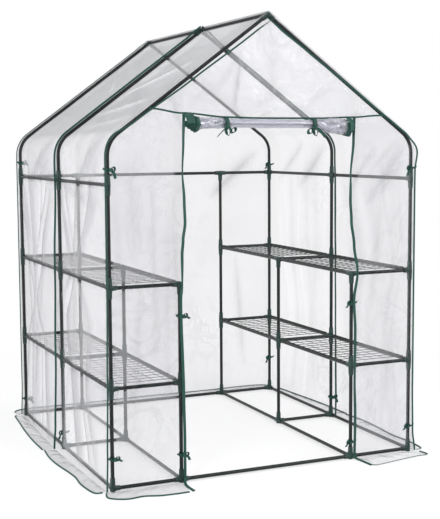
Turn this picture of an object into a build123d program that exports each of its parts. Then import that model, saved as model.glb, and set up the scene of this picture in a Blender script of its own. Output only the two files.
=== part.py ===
from build123d import *
import os
from math import atan2, cos, degrees, radians, sin, tan

# Walk-in greenhouse: a plugged-together frame of round steel tube, eight wire shelves in two racks,
# and a sewn cover of clear film whose door is rolled up and tied under its header.
# The door faces -Y, +X is to the right seen from the front, and +Z is up from the ground.

# Frame, from tube centre to tube centre
post_x = 707.0
aisle_post_x = 406.0
row_y = 707.0
lower_shelf_z = 423.0
upper_shelf_z = 832.0
side_bar_drop = 170.0  # below the eave
eave_z = 1413.0
ridge_z = 1933.0
eave_bend_radius = 115.0
tube_diameter = 16.0
tube_sides = 8  # flats that stand for the round of each tube

# Plastic connectors: tapered sleeves that meet in one hub, measured across their flat sides, and
# a web hollowed by an arc in the corner under each rail's sleeve
sleeve_sides = 8
hub_across = 23.4
mouth_across = 20.0
arm_length = 31.0
riser_length = 43.0
foot_clearance = 1.0
web_thickness = 7.0
web_radius = 17.0
web_flats = 2  # flats that stand for the round of each web's arc

# Wire shelves, resting on the side rails between the connectors
wire = 3.0
rung_count = 13
shelf_end_gap = 46.0

# Film cover, outside the frame
film = 1.0
seat_gap = 0.3
door_edge_inset = 6.0  # from the middle of the doorway's posts
header_rise = 99.0  # above the eave
ribbon_width = 14.0
ribbon = 1.2

# Rolled door, thick at its ends and pulled in by its two ties
roll_end_inset = 16.0  # from the doorway's edges
roll_end_diameter = 76.0
roll_waist_diameter = 54.0
roll_sides = 12
roll_tie_x = 203.0
tie_band_width = 18.0
tie_tail_length = 46.0

# Skirts that lie on the ground
side_skirt_reach = 92.0
end_skirt_reach = 128.0
skirt_corner_cut = 45.0
skirt_slit = 6.0

tube_radius = tube_diameter / 2
half_side_angle = radians(180 / sleeve_sides)
base_z = hub_across / 2 + foot_clearance
side_bar_z = eave_z - side_bar_drop
header_z = eave_z + header_rise
door_half_width = aisle_post_x - door_edge_inset
roll_half_length = door_half_width - roll_end_inset
roof_angle = atan2(ridge_z - eave_z, post_x)
eave_turn = radians(90) - roof_angle
film_offset = hub_across / 2 + seat_gap
film_out = film_offset + film
ribbon_in = film_out + seat_gap
rows = (-row_y, 0.0, row_y)
bays = ((-row_y, 0.0), (0.0, row_y))
sides = {"left": -1, "right": 1}
levels = {"lower": lower_shelf_z, "upper": upper_shelf_z}
nodes = {}

UP, DOWN = (0, 0, 1), (0, 0, -1)
FRONT, BACK = (0, -1, 0), (0, 1, 0)


def add(name, solids):
    """Puts solids into the named node."""
    nodes.setdefault(name, []).extend(solids)


def tube_section(origin, way):
    """The tube's outline where it leaves a sleeve's mouth."""
    return Plane(origin=origin, z_dir=way) * RegularPolygon(tube_radius, tube_sides)


def tube(start, end, inset):
    """A straight tube between two hubs, less what a sleeve takes at each end."""
    a, b = Vector(*start), Vector(*end)
    way = (b - a).normalized()
    return extrude(tube_section(a + way * inset, way), amount=(b - a).length - 2 * inset)


def rail(start, end):
    return tube(start, end, arm_length)


def post(x, y, low, high):
    return tube((x, y, low), (x, y, high), riser_length)


def ring(axis, distance, across):
    """The corners of a sleeve's outline at a distance from its hub."""
    reach = across / 2 / cos(half_side_angle)
    turns = [half_side_angle * (2 * corner + 1) for corner in range(sleeve_sides)]
    return [axis.from_local_coords((reach * cos(turn), reach * sin(turn), distance)) for turn in turns]


def sleeve(direction, length, root_across, end_across):
    """One sleeve, from the middle of the hub to its mouth."""
    across = (1, 0, 0) if abs(direction[1]) > 0.5 else (0, 1, 0)
    axis = Plane(origin=(0, 0, 0), x_dir=across, z_dir=direction)
    root, mouth = ring(axis, 0, root_across), ring(axis, length, end_across)
    outlines = [root, mouth]
    for corner in range(sleeve_sides):
        outlines.append([root[corner - 1], root[corner], mouth[corner], mouth[corner - 1]])
    return Solid(Shell([Face(Wire.make_polygon(outline)) for outline in outlines]))


def web(rail_way):
    """The web in the corner under a rail's sleeve, where it meets the post's."""
    root = mouth_across / 2
    turns = [radians(90 * step / web_flats) for step in range(web_flats + 1)]
    arc = [(root + web_radius * (1 - cos(turn)), root + web_radius * (1 - sin(turn))) for turn in turns]
    outline = Polyline((0, 0), (0, root + web_radius), *arc, (root + web_radius, 0), close=True)
    across = Vector(*rail_way).cross(Vector(*DOWN))
    corner = Plane(origin=(0, 0, 0), x_dir=rail_way, z_dir=across)
    return extrude(corner * make_face(outline), amount=web_thickness / 2, both=True)


def connector(directions, foot=False):
    """Sleeves that leave one hub. A base connector also has a foot that reaches the ground."""
    risers = [way for way in directions if way in (DOWN, UP)]
    arms = [way for way in directions if way not in risers]
    pieces = [sleeve(way, riser_length, hub_across, mouth_across) for way in risers]
    for way in arms:
        # Sleeves along the ridge are straight, to clear both slopes of the cover
        straight = not risers and way in (FRONT, BACK)
        pieces.append(sleeve(way, arm_length, mouth_across if straight else hub_across, mouth_across))
        if DOWN in directions:
            pieces.append(web(way))
    if foot:
        pieces.append(sleeve(DOWN, base_z, hub_across, hub_across))
    body = pieces[0]
    for piece in pieces[1:]:
        body += piece
    return body.solid()


def along(y):
    """The directions in which side rails leave a row's connector."""
    return [way for way, blocked in ((FRONT, y == rows[0]), (BACK, y == rows[-1])) if not blocked]


def half_outline(offset):
    """Corner and apex of the arch's outline, offset outwards from the tubes' centre line."""
    corner = (post_x + offset, eave_z + offset * tan(eave_turn / 2))
    apex = (0.0, ridge_z + offset / cos(roof_angle))
    return corner, apex


def house(offset):
    """The front view of the cover at this offset, as a face with its eaves rounded."""
    corner, apex = half_outline(offset)
    width = corner[0]
    outline = Polyline((-width, 0), (width, 0), corner, apex, (-width, corner[1]), close=True)
    face = make_face(outline)
    eaves = [v for v in face.vertices() if abs(v.Y - corner[1]) < 1]
    return fillet(eaves, eave_bend_radius + offset)


def window(x0, x1, z0, z1):
    """A rectangle in the front view, for cutting a face to size."""
    return Pos((x0 + x1) / 2, (z0 + z1) / 2) * Rectangle(x1 - x0, z1 - z0)


def upright(face, y, thickness):
    """A face of the front view stood up, from y towards the back."""
    return extrude(Plane.XZ.offset(-y - thickness) * face, amount=thickness).solid()


# Rails of the base
for side in sides.values():
    for y0, y1 in bays:
        for x in (post_x, aisle_post_x):
            add("base_side_rails", [rail((side * x, y0, base_z), (side * x, y1, base_z))])
    for y in rows:
        add("base_cross_rails", [rail((side * aisle_post_x, y, base_z), (side * post_x, y, base_z))])
for y in (rows[0], rows[-1]):
    add("base_cross_rails", [rail((-aisle_post_x, y, base_z), (aisle_post_x, y, base_z))])

# Rails and wire shelves of the two racks
for level, z in levels.items():
    for name, side in sides.items():
        frame = f"{level}_{name}_shelf_rails"
        for y in rows:
            add(frame, [rail((side * aisle_post_x, y, z), (side * post_x, y, z))])
        for bay, (y0, y1) in zip(("front", "rear"), bays):
            for x in (post_x, aisle_post_x):
                add(frame, [rail((side * x, y0, z), (side * x, y1, z))])
            width = post_x - aisle_post_x + wire
            length = row_y - 2 * shelf_end_gap
            pitch = (length - wire) / (rung_count - 1)
            grid = Rectangle(width, length)
            grid -= GridLocations(0, pitch, 1, rung_count - 1) * Rectangle(width - 2 * wire, pitch - wire)
            place = Pos(side * (post_x + aisle_post_x) / 2, (y0 + y1) / 2, z + tube_radius + seat_gap)
            add(f"{level}_{name}_{bay}_wire_shelf", [extrude(place * grid, amount=wire).solid()])

# Posts
for name, side in sides.items():
    for y in rows:
        steps = (base_z, lower_shelf_z, upper_shelf_z, side_bar_z)
        for low, high in zip(steps, steps[1:]):
            add(f"{name}_outer_posts", [post(side * post_x, y, low, high)])
        inner_steps = steps if y == rows[-1] else steps[:3]
        for low, high in zip(inner_steps, inner_steps[1:]):
            add(f"{name}_inner_posts", [post(side * aisle_post_x, y, low, high)])

# Top rails, along both sides and across the back
for side in sides.values():
    for y0, y1 in bays:
        add("side_top_rails", [rail((side * post_x, y0, side_bar_z), (side * post_x, y1, side_bar_z))])
stops = (-post_x, -aisle_post_x, aisle_post_x, post_x)
for x0, x1 in zip(stops, stops[1:]):
    add("back_top_rail", [rail((x0, row_y, side_bar_z), (x1, row_y, side_bar_z))])

# Three arches of two bent rafters, and the ridge pole
for arch, y in zip(("front_arch", "middle_arch", "rear_arch"), rows):
    for side in sides.values():
        foot = (side * post_x, side_bar_z + riser_length)
        eave = (side * post_x, eave_z)
        top = (side * arm_length * cos(roof_angle), ridge_z - arm_length * sin(roof_angle))
        line = FilletPolyline(foot, eave, top, radius=eave_bend_radius)
        path = Plane.XZ.offset(-y) * line
        add(arch, [sweep(tube_section((foot[0], y, foot[1]), UP), path=path).solid()])
for y0, y1 in bays:
    add("ridge_pole", [rail((0, y0, ridge_z), (0, y1, ridge_z))])

# Connectors, level by level
for side in sides.values():
    outward, inward = (side, 0, 0), (-side, 0, 0)
    for y in rows:
        sill = [inward] if y != 0 else []
        base = Pos(side * post_x, y, base_z) * connector([UP, inward, *along(y)], foot=True)
        add("base_connectors", [base])
        base = Pos(side * aisle_post_x, y, base_z) * connector([UP, outward, *sill, *along(y)], foot=True)
        add("base_connectors", [base])
        for level, z in levels.items():
            node = f"{level}_shelf_connectors"
            add(node, [Pos(side * post_x, y, z) * connector([UP, DOWN, inward, *along(y)])])
            risers = [UP, DOWN] if level == "lower" or y == rows[-1] else [DOWN]
            add(node, [Pos(side * aisle_post_x, y, z) * connector([*risers, outward, *along(y)])])
        back = [inward] if y == rows[-1] else []
        add("top_rail_connectors", [Pos(side * post_x, y, side_bar_z) * connector([UP, DOWN, *back, *along(y)])])
    tee = connector([DOWN, outward, inward])
    add("top_rail_connectors", [Pos(side * aisle_post_x, row_y, side_bar_z) * tee])
slopes = [(side * cos(roof_angle), 0, -sin(roof_angle)) for side in sides.values()]
for y in rows:
    add("ridge_connectors", [Pos(0, y, ridge_z) * connector([*slopes, *along(y)])])

# Film of the cover: walls, roof slopes with their eaves, back, and the front around its doorway
whole = house(film_out)
shell = whole - house(film_offset)
wide, tall = 2 * post_x, 2 * ridge_z
bend_start_z = eave_z - eave_bend_radius * tan(eave_turn / 2)
film_half_depth = row_y + film_offset - seat_gap
for name, side in sides.items():
    x0, x1 = sorted((0.0, side * wide))
    wall = shell & window(*sorted((side * aisle_post_x, side * wide)), film, bend_start_z)
    add(f"{name}_wall_film", [upright(wall, -film_half_depth, 2 * film_half_depth)])
    slope = shell & window(x0, x1, bend_start_z, tall)
    add(f"{name}_roof_film", [upright(slope, -film_half_depth, 2 * film_half_depth)])
    panel = whole & window(*sorted((side * door_half_width, side * wide)), 0, header_z)
    add(f"front_{name}_film", [upright(panel, -row_y - film_out, film)])
add("front_gable_film", [upright(whole & window(-wide, wide, header_z, tall), -row_y - film_out, film)])
add("back_film", [upright(whole, row_y + film_offset, film)])

# Ribbon sewn over the seams
band = house(ribbon_in + ribbon) - house(ribbon_in)
band &= window(-wide, wide, film + seat_gap, tall)
for y in (-row_y + ribbon_width / 2, 0.0, row_y - ribbon_width / 2):
    add("arch_bindings", [upright(band, y - ribbon_width / 2, ribbon_width)])
header = whole & window(-wide, wide, header_z - ribbon_width / 2, header_z + ribbon_width / 2)
ribbon_y = -row_y - ribbon_in - ribbon
add("header_binding", [upright(header, ribbon_y, ribbon)])
for side in sides.values():
    x0, x1 = sorted((side * door_half_width - ribbon_width / 2, side * door_half_width + ribbon_width / 2))
    edge = window(x0, x1, film + seat_gap, header_z - ribbon_width / 2 - seat_gap)
    add("door_edge_bindings", [upright(edge, ribbon_y, ribbon)])

# The rolled door under its header, and the ribbon that holds it
roll_y = row_y + ribbon_in + ribbon / 2
roll_z = header_z - ribbon_width / 2 - roll_end_diameter / 2 - seat_gap
end_r, waist_r = roll_end_diameter / 2, roll_waist_diameter / 2
waist_half = roll_tie_x + tie_band_width
shoulder = (roll_half_length - waist_half) / 2


def roll_slice(way, start, radius):
    """The rolled door's outline at a distance from its middle."""
    middle = Plane(origin=(way * start, -roll_y, roll_z), x_dir=BACK, z_dir=(way, 0, 0))
    return middle * RegularPolygon(radius, roll_sides)


roll = extrude(roll_slice(-1, -waist_half, waist_r), amount=2 * waist_half)
for way in (-1, 1):
    widening = degrees(atan2((end_r - waist_r) * cos(radians(180 / roll_sides)), shoulder))
    roll += extrude(roll_slice(way, waist_half, waist_r), amount=shoulder, taper=-widening)
    roll += extrude(roll_slice(way, waist_half + shoulder, end_r), amount=shoulder)
add("rolled_door", [roll.solid()])
for side in sides.values():
    ring = RegularPolygon(waist_r + seat_gap + ribbon, sleeve_sides, major_radius=False)
    ring -= RegularPolygon(waist_r + seat_gap, sleeve_sides, major_radius=False)
    middle = Plane(origin=(side * roll_tie_x - tie_band_width / 2, -roll_y, roll_z), x_dir=BACK, z_dir=(1, 0, 0))
    loop = extrude(middle * ring, amount=tie_band_width)
    tail_y = -roll_y - waist_r - seat_gap - ribbon / 2
    tail = Pos(side * roll_tie_x, tail_y, roll_z - tie_tail_length / 2) * Box(tie_band_width, ribbon, tie_tail_length)
    add("door_ties", [(loop + tail).solid()])


def flap(points):
    """A flat piece of skirt on the ground."""
    return extrude(make_face(Polyline(*points, close=True)), amount=film).solid()


# Skirts: two flaps along each side, one each side of the doorway, and one across the back
wall_x, wall_y = post_x + film_out + seat_gap, row_y + film_out + seat_gap
for side in sides.values():
    near, far = side * wall_x, side * (wall_x + side_skirt_reach)
    for way in (-1, 1):
        slit, end = way * skirt_slit / 2, way * (wall_y - skirt_slit)
        cut = way * (wall_y - skirt_corner_cut)
        add("side_skirts", [flap([(near, slit), (near, end), (far, cut), (far, slit)])])
    front, front_end = -wall_y, -wall_y - end_skirt_reach
    inner = side * door_half_width
    outer, outer_end = side * (wall_x + skirt_slit), side * (wall_x + skirt_corner_cut / 2)
    corner = side * (wall_x - skirt_corner_cut / 2)
    add("front_skirts", [flap([(inner, front), (outer, front), (outer_end, front_end + skirt_corner_cut),
                               (corner, front_end), (inner + side * skirt_slit, front_end)])])
back, back_end = wall_y, wall_y + end_skirt_reach
outer, outer_end = wall_x + skirt_slit, wall_x + skirt_corner_cut / 2
corner = wall_x - skirt_corner_cut / 2
add("back_skirt", [flap([(-outer, back), (outer, back), (outer_end, back_end - skirt_corner_cut),
                         (corner, back_end), (-corner, back_end), (-outer_end, back_end - skirt_corner_cut)])])

os.makedirs("parts", exist_ok=True)
for name, solids in nodes.items():
    export_step(Compound(children=solids), f"parts/{name}.step")
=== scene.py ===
import random
from math import atan2, cos, exp, pi, radians, sin, sqrt, tan

import bmesh
import bpy
from mathutils import Matrix, Vector


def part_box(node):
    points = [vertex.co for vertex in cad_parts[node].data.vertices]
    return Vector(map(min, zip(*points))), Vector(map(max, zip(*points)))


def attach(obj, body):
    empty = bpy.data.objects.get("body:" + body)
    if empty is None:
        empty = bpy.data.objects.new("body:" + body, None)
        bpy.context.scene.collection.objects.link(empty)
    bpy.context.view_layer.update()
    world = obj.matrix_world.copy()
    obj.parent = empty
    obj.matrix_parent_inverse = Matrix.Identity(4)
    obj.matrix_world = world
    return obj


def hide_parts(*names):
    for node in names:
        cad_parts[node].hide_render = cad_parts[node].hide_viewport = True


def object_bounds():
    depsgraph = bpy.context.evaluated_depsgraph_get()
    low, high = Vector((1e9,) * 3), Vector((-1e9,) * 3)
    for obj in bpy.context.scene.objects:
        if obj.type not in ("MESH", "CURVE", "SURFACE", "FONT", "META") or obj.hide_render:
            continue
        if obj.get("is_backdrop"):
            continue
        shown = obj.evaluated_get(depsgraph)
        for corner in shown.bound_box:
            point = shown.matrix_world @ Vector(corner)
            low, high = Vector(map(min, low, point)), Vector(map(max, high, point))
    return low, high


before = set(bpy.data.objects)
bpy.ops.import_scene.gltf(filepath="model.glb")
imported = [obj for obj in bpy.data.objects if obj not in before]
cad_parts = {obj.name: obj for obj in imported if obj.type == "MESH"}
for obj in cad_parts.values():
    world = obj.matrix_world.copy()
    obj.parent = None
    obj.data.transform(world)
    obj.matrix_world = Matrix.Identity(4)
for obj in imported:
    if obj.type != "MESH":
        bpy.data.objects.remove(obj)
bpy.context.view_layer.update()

# Walk-in greenhouse: round powder-coated tubes in moulded connectors, wire shelves in two racks, and a sewn
# cover of clear film with ribbon over its seams. Metres, +Z up, and the doorway faces -Y.


def middle(node):
    """The middle of a node's box."""
    low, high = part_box(node)
    return (low + high) / 2


# Lines of the frame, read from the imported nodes
post_x = middle("right_outer_posts").x
aisle_post_x = middle("right_inner_posts").x
row_y = middle("rear_arch").y
base_z = middle("base_side_rails").z
side_bar_z = middle("side_top_rails").z
ridge_z = middle("ridge_pole").z
wall_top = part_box("left_wall_film")[1].z
rows = (-row_y, 0.0, row_y)
rail_heights = (base_z, middle("lower_left_shelf_rails").z, middle("upper_left_shelf_rails").z, side_bar_z, ridge_z)
sides = {"left": -1, "right": 1}

# Tubes and connectors
tube_radius = 0.008
tube_sides = 20
eave_z = 1.413
eave_bend_radius = 0.115
eave_bend_steps = 10
arm_reach = 0.031
riser_reach = 0.043
hub_radius = 0.0118
ball_radius = 1.04 * hub_radius
mouth_radius = 0.0102
foot_radius = mouth_radius + 0.001
sleeve_sides = 24
web_thickness = 0.007
web_root = 0.6 * hub_radius
under_web_radius = 0.018
over_web_radius = 0.009
fusing_gap = 0.00002

# Wire shelves
wire_radius = 0.0015
wire_sides = 8
rung_count = 13
fine_wire_radius = 0.001
fine_wire_drop = 0.8 * fine_wire_radius
fine_wire_count = 5

# Cover of clear film
film_gap = 0.0125
closest_film = -0.004
# A fold this deep takes the full painted fold shade; hollows clear, as a painted highlight, down to this share of it.
full_fold, hollow_fold = 0.008, -0.3
film_sharp_angle = 70
wall_grid, front_grid, gable_grid, back_grid = (120, 192), (34, 130), (110, 44), (120, 150)
cover_x, cover_y = post_x + film_gap, row_y + film_gap
front_y = -cover_y
roof_angle = atan2(ridge_z - eave_z, post_x)
eave_turn = pi / 2 - roof_angle
film_bend_radius = eave_bend_radius + film_gap
bend_length = film_bend_radius * eave_turn
bend_middle = (post_x - eave_bend_radius, wall_top)
slope_foot = (bend_middle[0] + film_bend_radius * cos(eave_turn), bend_middle[1] + film_bend_radius * sin(eave_turn))
outline_length = wall_top + bend_length + slope_foot[0] / sin(eave_turn)

# Ribbon
ribbon_thickness, tie_thickness, rolled_ribbon_thickness = 0.0014, 0.0012, 0.0011
seam_ribbon, door_ribbon, hem_ribbon, header_ribbon_width = 0.009, 0.012, 0.006, 0.006
ribbon_foot = 0.004


def eased(stops, at):
    """A value that passes smoothly from one listed stop (position, value) to the next."""
    if at <= stops[0][0]:
        return stops[0][1]
    for (start, low), (end, high) in zip(stops, stops[1:]):
        if at <= end:
            share = (at - start) / (end - start)
            return low + (high - low) * share * share * (3 - 2 * share)
    return stops[-1][1]


def through(points, share):
    """A point on the smooth line through the listed points, at this share of their number."""
    spans = len(points) - 1
    place = min(max(share, 0.0), 1.0) * spans
    first = min(int(place), spans - 1)
    t = place - first
    a, b, c, d = (Vector(points[min(max(first + i, 0), spans)]) for i in (-1, 0, 1, 2))
    return 0.5 * (2 * b + (c - a) * t + (2 * a - 5 * b + 4 * c - d) * t * t + (3 * b - a - 3 * c + d) * t ** 3)


def placed(name, data):
    """A new object of the scene that holds this data."""
    made = bpy.data.objects.new(name, data)
    bpy.context.scene.collection.objects.link(made)
    return made


def mesh_data(name, mesh):
    """The data of a mesh, once its shape is complete."""
    data = bpy.data.meshes.new(name)
    mesh.to_mesh(data)
    mesh.free()
    return data


# The photograph's view: the camera stands in front and to the left, a little above the eaves
def photo_camera():
    """The camera, with the photograph's place, turn and length of lens."""
    place = Vector((-2.081, -4.901, 1.402))
    yaw, pitch, roll = radians(23.881), radians(-5.943), radians(-0.376)
    ahead = Vector((sin(yaw) * cos(pitch), cos(yaw) * cos(pitch), sin(pitch)))
    level = Vector((cos(yaw), -sin(yaw), 0))
    raised = level.cross(ahead)
    right = cos(roll) * level + sin(roll) * raised
    up = cos(roll) * raised - sin(roll) * level
    data = bpy.data.cameras.new("camera")
    data.lens = 77.07
    data.sensor_width = 36.0
    camera = placed("camera", data)
    camera.matrix_world = Matrix.Translation(place) @ Matrix((right, up, -ahead)).transposed().to_4x4()
    bpy.context.scene.camera = camera


photo_camera()


class Signal:
    """A value in a finish. Sums on it add the nodes that work them out."""

    def __init__(self, finish, socket):
        self.finish, self.socket = finish, socket

    def math(self, operation, first, second):
        return self.finish.node("ShaderNodeMath", {"operation": operation}, {0: first, 1: second})

    def __add__(self, other):
        return self.math("ADD", self, other)

    def __radd__(self, other):
        return self.math("ADD", other, self)

    def __sub__(self, other):
        return self.math("SUBTRACT", self, other)

    def __rsub__(self, other):
        return self.math("SUBTRACT", other, self)

    def __mul__(self, other):
        return self.math("MULTIPLY", self, other)

    def __rmul__(self, other):
        return self.math("MULTIPLY", other, self)

    def __pow__(self, power):
        return self.math("POWER", self, power)

    def __abs__(self):
        return self.finish.node("ShaderNodeMath", {"operation": "ABSOLUTE"}, {0: self})

    def clamped(self):
        return self.finish.node("ShaderNodeClamp", {}, {"Value": self})


class Nodes:
    """The shader nodes of a material or of the world."""

    def __init__(self, owner):
        owner.use_nodes = True
        self.tree = owner.node_tree
        self.tree.nodes.clear()

    def node(self, kind, settings=(), inputs=(), output=0):
        """Adds one node: its settings first, then the values or links of its sockets."""
        made = self.tree.nodes.new(kind)
        for name, value in dict(settings).items():
            setattr(made, name, value)
        for name, value in dict(inputs).items():
            if isinstance(value, Signal):
                self.tree.links.new(value.socket, made.inputs[name])
            else:
                made.inputs[name].default_value = value
        return Signal(self, made.outputs[output]) if made.outputs else None

    def mix(self, share, first, second):
        return self.node("ShaderNodeMixShader", {}, {0: share, 1: first, 2: second})

    def seen_plainly(self):
        """1 where the camera or a reflection sees this, and 0 for all other light."""
        seen, mirrored = (self.node("ShaderNodeLightPath", output=f"Is {kind} Ray") for kind in ("Camera", "Glossy"))
        return seen.math("MAXIMUM", seen, mirrored)


class Finish(Nodes):
    """A material built from nodes."""

    def __init__(self, name):
        self.material = bpy.data.materials.new(name)
        super().__init__(self.material)
        self.place = self.node("ShaderNodeTexCoord", output="Object")

    def noise(self, scale, detail=2.0, distortion=0.0):
        return self.node("ShaderNodeTexNoise", {}, {"Vector": self.place, "Scale": scale, "Detail": detail,
                                                    "Distortion": distortion})

    def ramp(self, axis, start, end):
        """A value that goes from 0 to 1 between two places along an axis."""
        at = self.node("ShaderNodeSeparateXYZ", {}, {0: self.place}, output=axis)
        return self.node("ShaderNodeMapRange", {}, {"Value": at, "From Min": start, "From Max": end})

    def blend(self, share, first, second):
        """A colour between two colours."""
        colours = {6: first if isinstance(first, Signal) else (*first, 1),
                   7: second if isinstance(second, Signal) else (*second, 1)}
        return self.node("ShaderNodeMix", {"data_type": "RGBA"}, {0: share, **colours}, output=2)

    def bump(self, height, depth, strength=1.0):
        return self.node("ShaderNodeBump", {}, {"Height": height, "Distance": depth, "Strength": strength})

    def solid(self, colour, roughness, normal, **constant):
        inputs = {"Base Color": colour, "Roughness": roughness, "Normal": normal}
        inputs.update({name.replace("_", " "): value for name, value in constant.items()})
        return self.node("ShaderNodeBsdfPrincipled", {}, inputs)

    def surface(self, shader):
        self.node("ShaderNodeOutputMaterial", {}, {"Surface": shader})
        return self.material


def powder_coat():
    """Tube: near-black green powder coat with a fine orange-peel skin and slightly rubbed patches."""
    coat = Finish("powder_coat")
    patches = coat.noise(14, detail=4)
    rubbed = coat.noise(160, detail=3)
    colour = coat.blend(patches, (0.006, 0.010, 0.009), (0.015, 0.022, 0.020))
    peel = coat.bump(coat.noise(1400, detail=2), 0.0004, 0.35)
    return coat.surface(coat.solid(colour, 0.17 + 0.14 * rubbed, peel, IOR=1.38))


def moulded_plastic():
    """Connector: dark green moulded plastic, satin, with a fine sparked texture."""
    plastic = Finish("moulded_plastic")
    colour = plastic.blend(plastic.noise(45, detail=3), (0.008, 0.032, 0.026), (0.015, 0.050, 0.040))
    grain = plastic.bump(plastic.noise(2200, detail=1), 0.0003, 0.4)
    return plastic.surface(plastic.solid(colour, 0.38 + 0.12 * plastic.noise(240), grain, IOR=1.46))


def coated_wire():
    """Shelf wire: thin dark green coat."""
    coat = Finish("coated_wire")
    colour = coat.blend(coat.noise(30, detail=3), (0.005, 0.009, 0.008), (0.012, 0.019, 0.017))
    skin = coat.bump(coat.noise(1800), 0.0002, 0.3)
    return coat.surface(coat.solid(colour, 0.34 + 0.14 * coat.noise(300), skin, IOR=1.38))


def woven_ribbon():
    """Ribbon: green woven edging with fine slanting ribs."""
    ribbon = Finish("woven_ribbon")
    ribs = ribbon.node("ShaderNodeTexWave", {"wave_type": "BANDS", "bands_direction": "DIAGONAL"},
                       {"Vector": ribbon.place, "Scale": 260.0, "Distortion": 0.6})
    shade = ribbon.noise(26, detail=3)
    body = ribbon.blend(shade, (0.005, 0.048, 0.035), (0.012, 0.090, 0.065))
    colour = ribbon.blend(0.35 * ribs, body, (0.005, 0.036, 0.028))
    weave = ribbon.bump(ribs, 0.0004, 0.6)
    return ribbon.surface(ribbon.solid(colour, 0.52 + 0.12 * ribs, weave, IOR=1.45))


def clear_film(name, veil, tint, wrinkle_depth, dimming=0.10, gloss_share=0.35, left_shade_roof_veil=0.10,
               roof_tint=None, roof_dimming=0.0, left_shade_dimming=0.0):
    """Film: clear and a little grey, with a milky veil and wrinkles. Where it lies on a tube, its veil and gloss
    are cut and it darkens what's behind it: painted shade from the tube.

    The film dims what's behind it along its folds and creases, partly as real film and partly as painted shade,
    and clears in the hollows between folds as a painted highlight. It dims where it is seen at a slant. Its
    left side is hazier and darker: painted shade. Its roof is hazier, and can be darker and greener."""
    film = Finish(name)
    # Where a tube lies behind the film its veil and gloss are cut and the see-through darkens: painted shade from the
    # tube, which keeps light from the veil.
    tube_shade = film.node("ShaderNodeAttribute", {"attribute_name": "tube_shade"}, output="Fac")
    # How deep the film is folded: painted shade on fold crests, partly the real look of film doubled in a fold, and a
    # painted highlight in the hollows.
    fold_shading = film.node("ShaderNodeAttribute", {"attribute_name": "fold_shading"}, output="Fac")
    left, roof = film.ramp(0, -0.25, -0.65), film.ramp(2, 1.35, 1.60)
    clouds = film.noise(3, detail=2)
    apart = abs(film.noise(5, detail=3, distortion=1.6) - 0.5)
    crumple = (1 - 16 * apart).clamped() * (3 * film.noise(2.3, detail=1) - 1.3).clamped()
    waves = film.noise(7, detail=3, distortion=1.2) + 0.25 * film.noise(38, detail=2, distortion=0.8)
    normal = film.bump(waves + 0.3 * crumple, wrinkle_depth, 0.8)
    facing = film.node("ShaderNodeLayerWeight", {}, {"Blend": 0.5, "Normal": normal}, output="Facing")
    slant = film.node("ShaderNodeLayerWeight", {}, {"Blend": 0.5}, output="Facing")
    # More veil on the left side, as painted shade where less light falls, and more veil on the roof.
    left_shade_roof_haze = left_shade_roof_veil * left.math("MAXIMUM", left, roof)
    share = (veil + left_shade_roof_haze + 0.10 * facing ** 4 + 0.08 * (clouds - 0.5) + 0.12 * fold_shading) * (1 - 0.98 * tube_shade)
    colour = film.blend(roof, tint, roof_tint) if roof_tint else (*tint, 1)
    milk = film.mix(0.5, film.solid(colour, 0.32 + 0.06 * clouds, normal, IOR=1.45),
                    film.node("ShaderNodeBsdfTranslucent", {}, {"Color": (0.86, 0.86, 0.89, 1), "Normal": normal}))
    # The see-through darkens along folds, creases and crumples, partly as real film and partly as painted shade, clears
    # in hollows as a painted highlight, darkens near tubes as painted shade, and darkens at a slant.
    dimmed = dimming + 30.0 * slant ** 20 + 0.75 * fold_shading + 0.25 * crumple + 0.10 * tube_shade + 0.25 * (clouds - 0.5)
    # A darker see-through on the roof, and on the left side as painted shade.
    dimmed = dimmed + roof_dimming * roof + left_shade_dimming * left
    clear = film.mix(dimmed.clamped(),
                     film.node("ShaderNodeBsdfTransparent", {}, {"Color": (0.985, 0.983, 0.995, 1)}),
                     film.node("ShaderNodeBsdfTransparent", {}, {"Color": (0.48, 0.48, 0.49, 1)}))
    gloss = film.node("ShaderNodeBsdfGlossy", {}, {"Color": (1, 1, 1, 1), "Roughness": 0.16, "Normal": normal})
    # The gloss is cut too where a tube lies behind the film: part of the painted tube shade.
    shine = gloss_share * (0.05 + 0.90 * facing ** 5) * (1 - 0.95 * tube_shade)
    return film.surface(film.mix(shine, film.mix(share.clamped(), clear, milk), gloss))


tube_coat = powder_coat()
connector_plastic = moulded_plastic()
wire_coat = coated_wire()
ribbon_weave = woven_ribbon()
cover_film = clear_film("cover_film", 0.20, (0.78, 0.775, 0.80), 0.008)
side_film = clear_film("side_film", 0.20, (0.78, 0.775, 0.80), 0.008, roof_tint=(0.67, 0.71, 0.70), roof_dimming=0.16)
roll_film = clear_film("roll_film", 0.12, (0.90, 0.925, 0.98), 0.012, -0.1, 1.0, 0.0)
# The skirt is darker on its left side: painted shade.
skirt_film = clear_film("skirt_film", 0.03, (0.86, 0.87, 0.88), 0.003, 0.12, 0.5, 0.06, left_shade_dimming=0.30)


def finished(name, mesh, material, stands_for=(), sharp_angle=35):
    """A finished piece: smooth between its sharp edges, and riding on the frame."""
    data = mesh_data(name, mesh)
    data.shade_smooth()
    data.set_sharp_from_angle(angle=radians(sharp_angle))
    data.materials.append(material)
    piece = placed(name, data)
    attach(piece, "root")
    if stands_for:
        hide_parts(*stands_for)
    return piece


def finished_ribbon(name, mesh, stands_for=(), thickness=ribbon_thickness):
    """A finished piece of ribbon: each strip is given its thickness, and its faces turned outwards."""
    bmesh.ops.solidify(mesh, geom=mesh.faces[:], thickness=thickness)
    bmesh.ops.recalc_face_normals(mesh, faces=mesh.faces[:])
    finished(name, mesh, ribbon_weave, stands_for)


def add_sheet(mesh, columns, steps, place):
    """A flat grid of film or ribbon, each point put where `place` says for its two shares, 0 to 1."""
    made = bmesh.ops.create_grid(mesh, x_segments=columns, y_segments=steps, size=0.5)
    for point in made["verts"]:
        point.co = place(point.co.x + 0.5, point.co.y + 0.5)


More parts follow.
